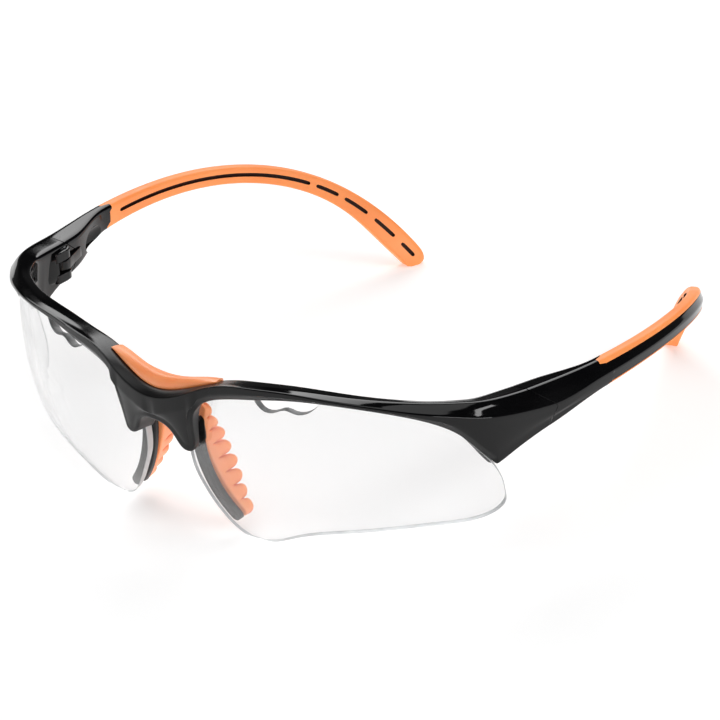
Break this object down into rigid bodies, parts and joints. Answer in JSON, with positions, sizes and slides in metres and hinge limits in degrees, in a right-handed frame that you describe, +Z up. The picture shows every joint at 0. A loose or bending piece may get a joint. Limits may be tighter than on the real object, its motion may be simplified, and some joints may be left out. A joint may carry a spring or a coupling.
{
  "type": "sports protective goggles",
  "caption": "Semi-rimless wrap-around sports protective goggles with clear lenses, rubber nose and brow pads and folding rubber-gripped temples.",
  "frame": {"origin": "on the rest surface, under the middle of the bounding box with the temples open", "axes": "+Z up, the front faces -Y, the wearer's left is +X and the temples run back along +Y"},
  "size_m": [0.1452, 0.1376, 0.0392],
  "materials": {
    "gloss_black": "polished black moulded nylon",
    "satin_black": "satin black moulded nylon",
    "clear_lens": "clear hard-coated polycarbonate",
    "orange_rubber": "soft satin orange thermoplastic rubber",
    "steel": "bright machine screw",
    "brass": "plain brass"
  },
  "bodies": {
    "front": {"front_frame": "gloss_black", "brow_pad": "orange_rubber", "lens_left": "clear_lens", "lens_right": "clear_lens", "nose_arm_left": "satin_black", "nose_arm_right": "satin_black", "nose_pad_left": "orange_rubber", "nose_pad_right": "orange_rubber", "hinge_screw_left": "steel", "hinge_screw_right": "steel", "hinge_nut_left": "brass", "hinge_nut_right": "brass"},
    "temple_arm_left": {"temple_left": "gloss_black", "temple_grip_left": "orange_rubber"},
    "temple_arm_right": {"temple_right": "gloss_black", "temple_grip_right": "orange_rubber"}
  },
  "joints": [
    {"name": "left_temple_fold", "type": "hinge", "parent": "front", "child": "temple_arm_left", "pos_m": [0.0632, -0.0273, 0.03], "axis": [0, 0, 1], "range_deg": [0, 84]},
    {"name": "right_temple_fold", "type": "hinge", "parent": "front", "child": "temple_arm_right", "pos_m": [-0.0632, -0.0273, 0.03], "axis": [0, 0, -1], "range_deg": [0, 70]}
  ]
}
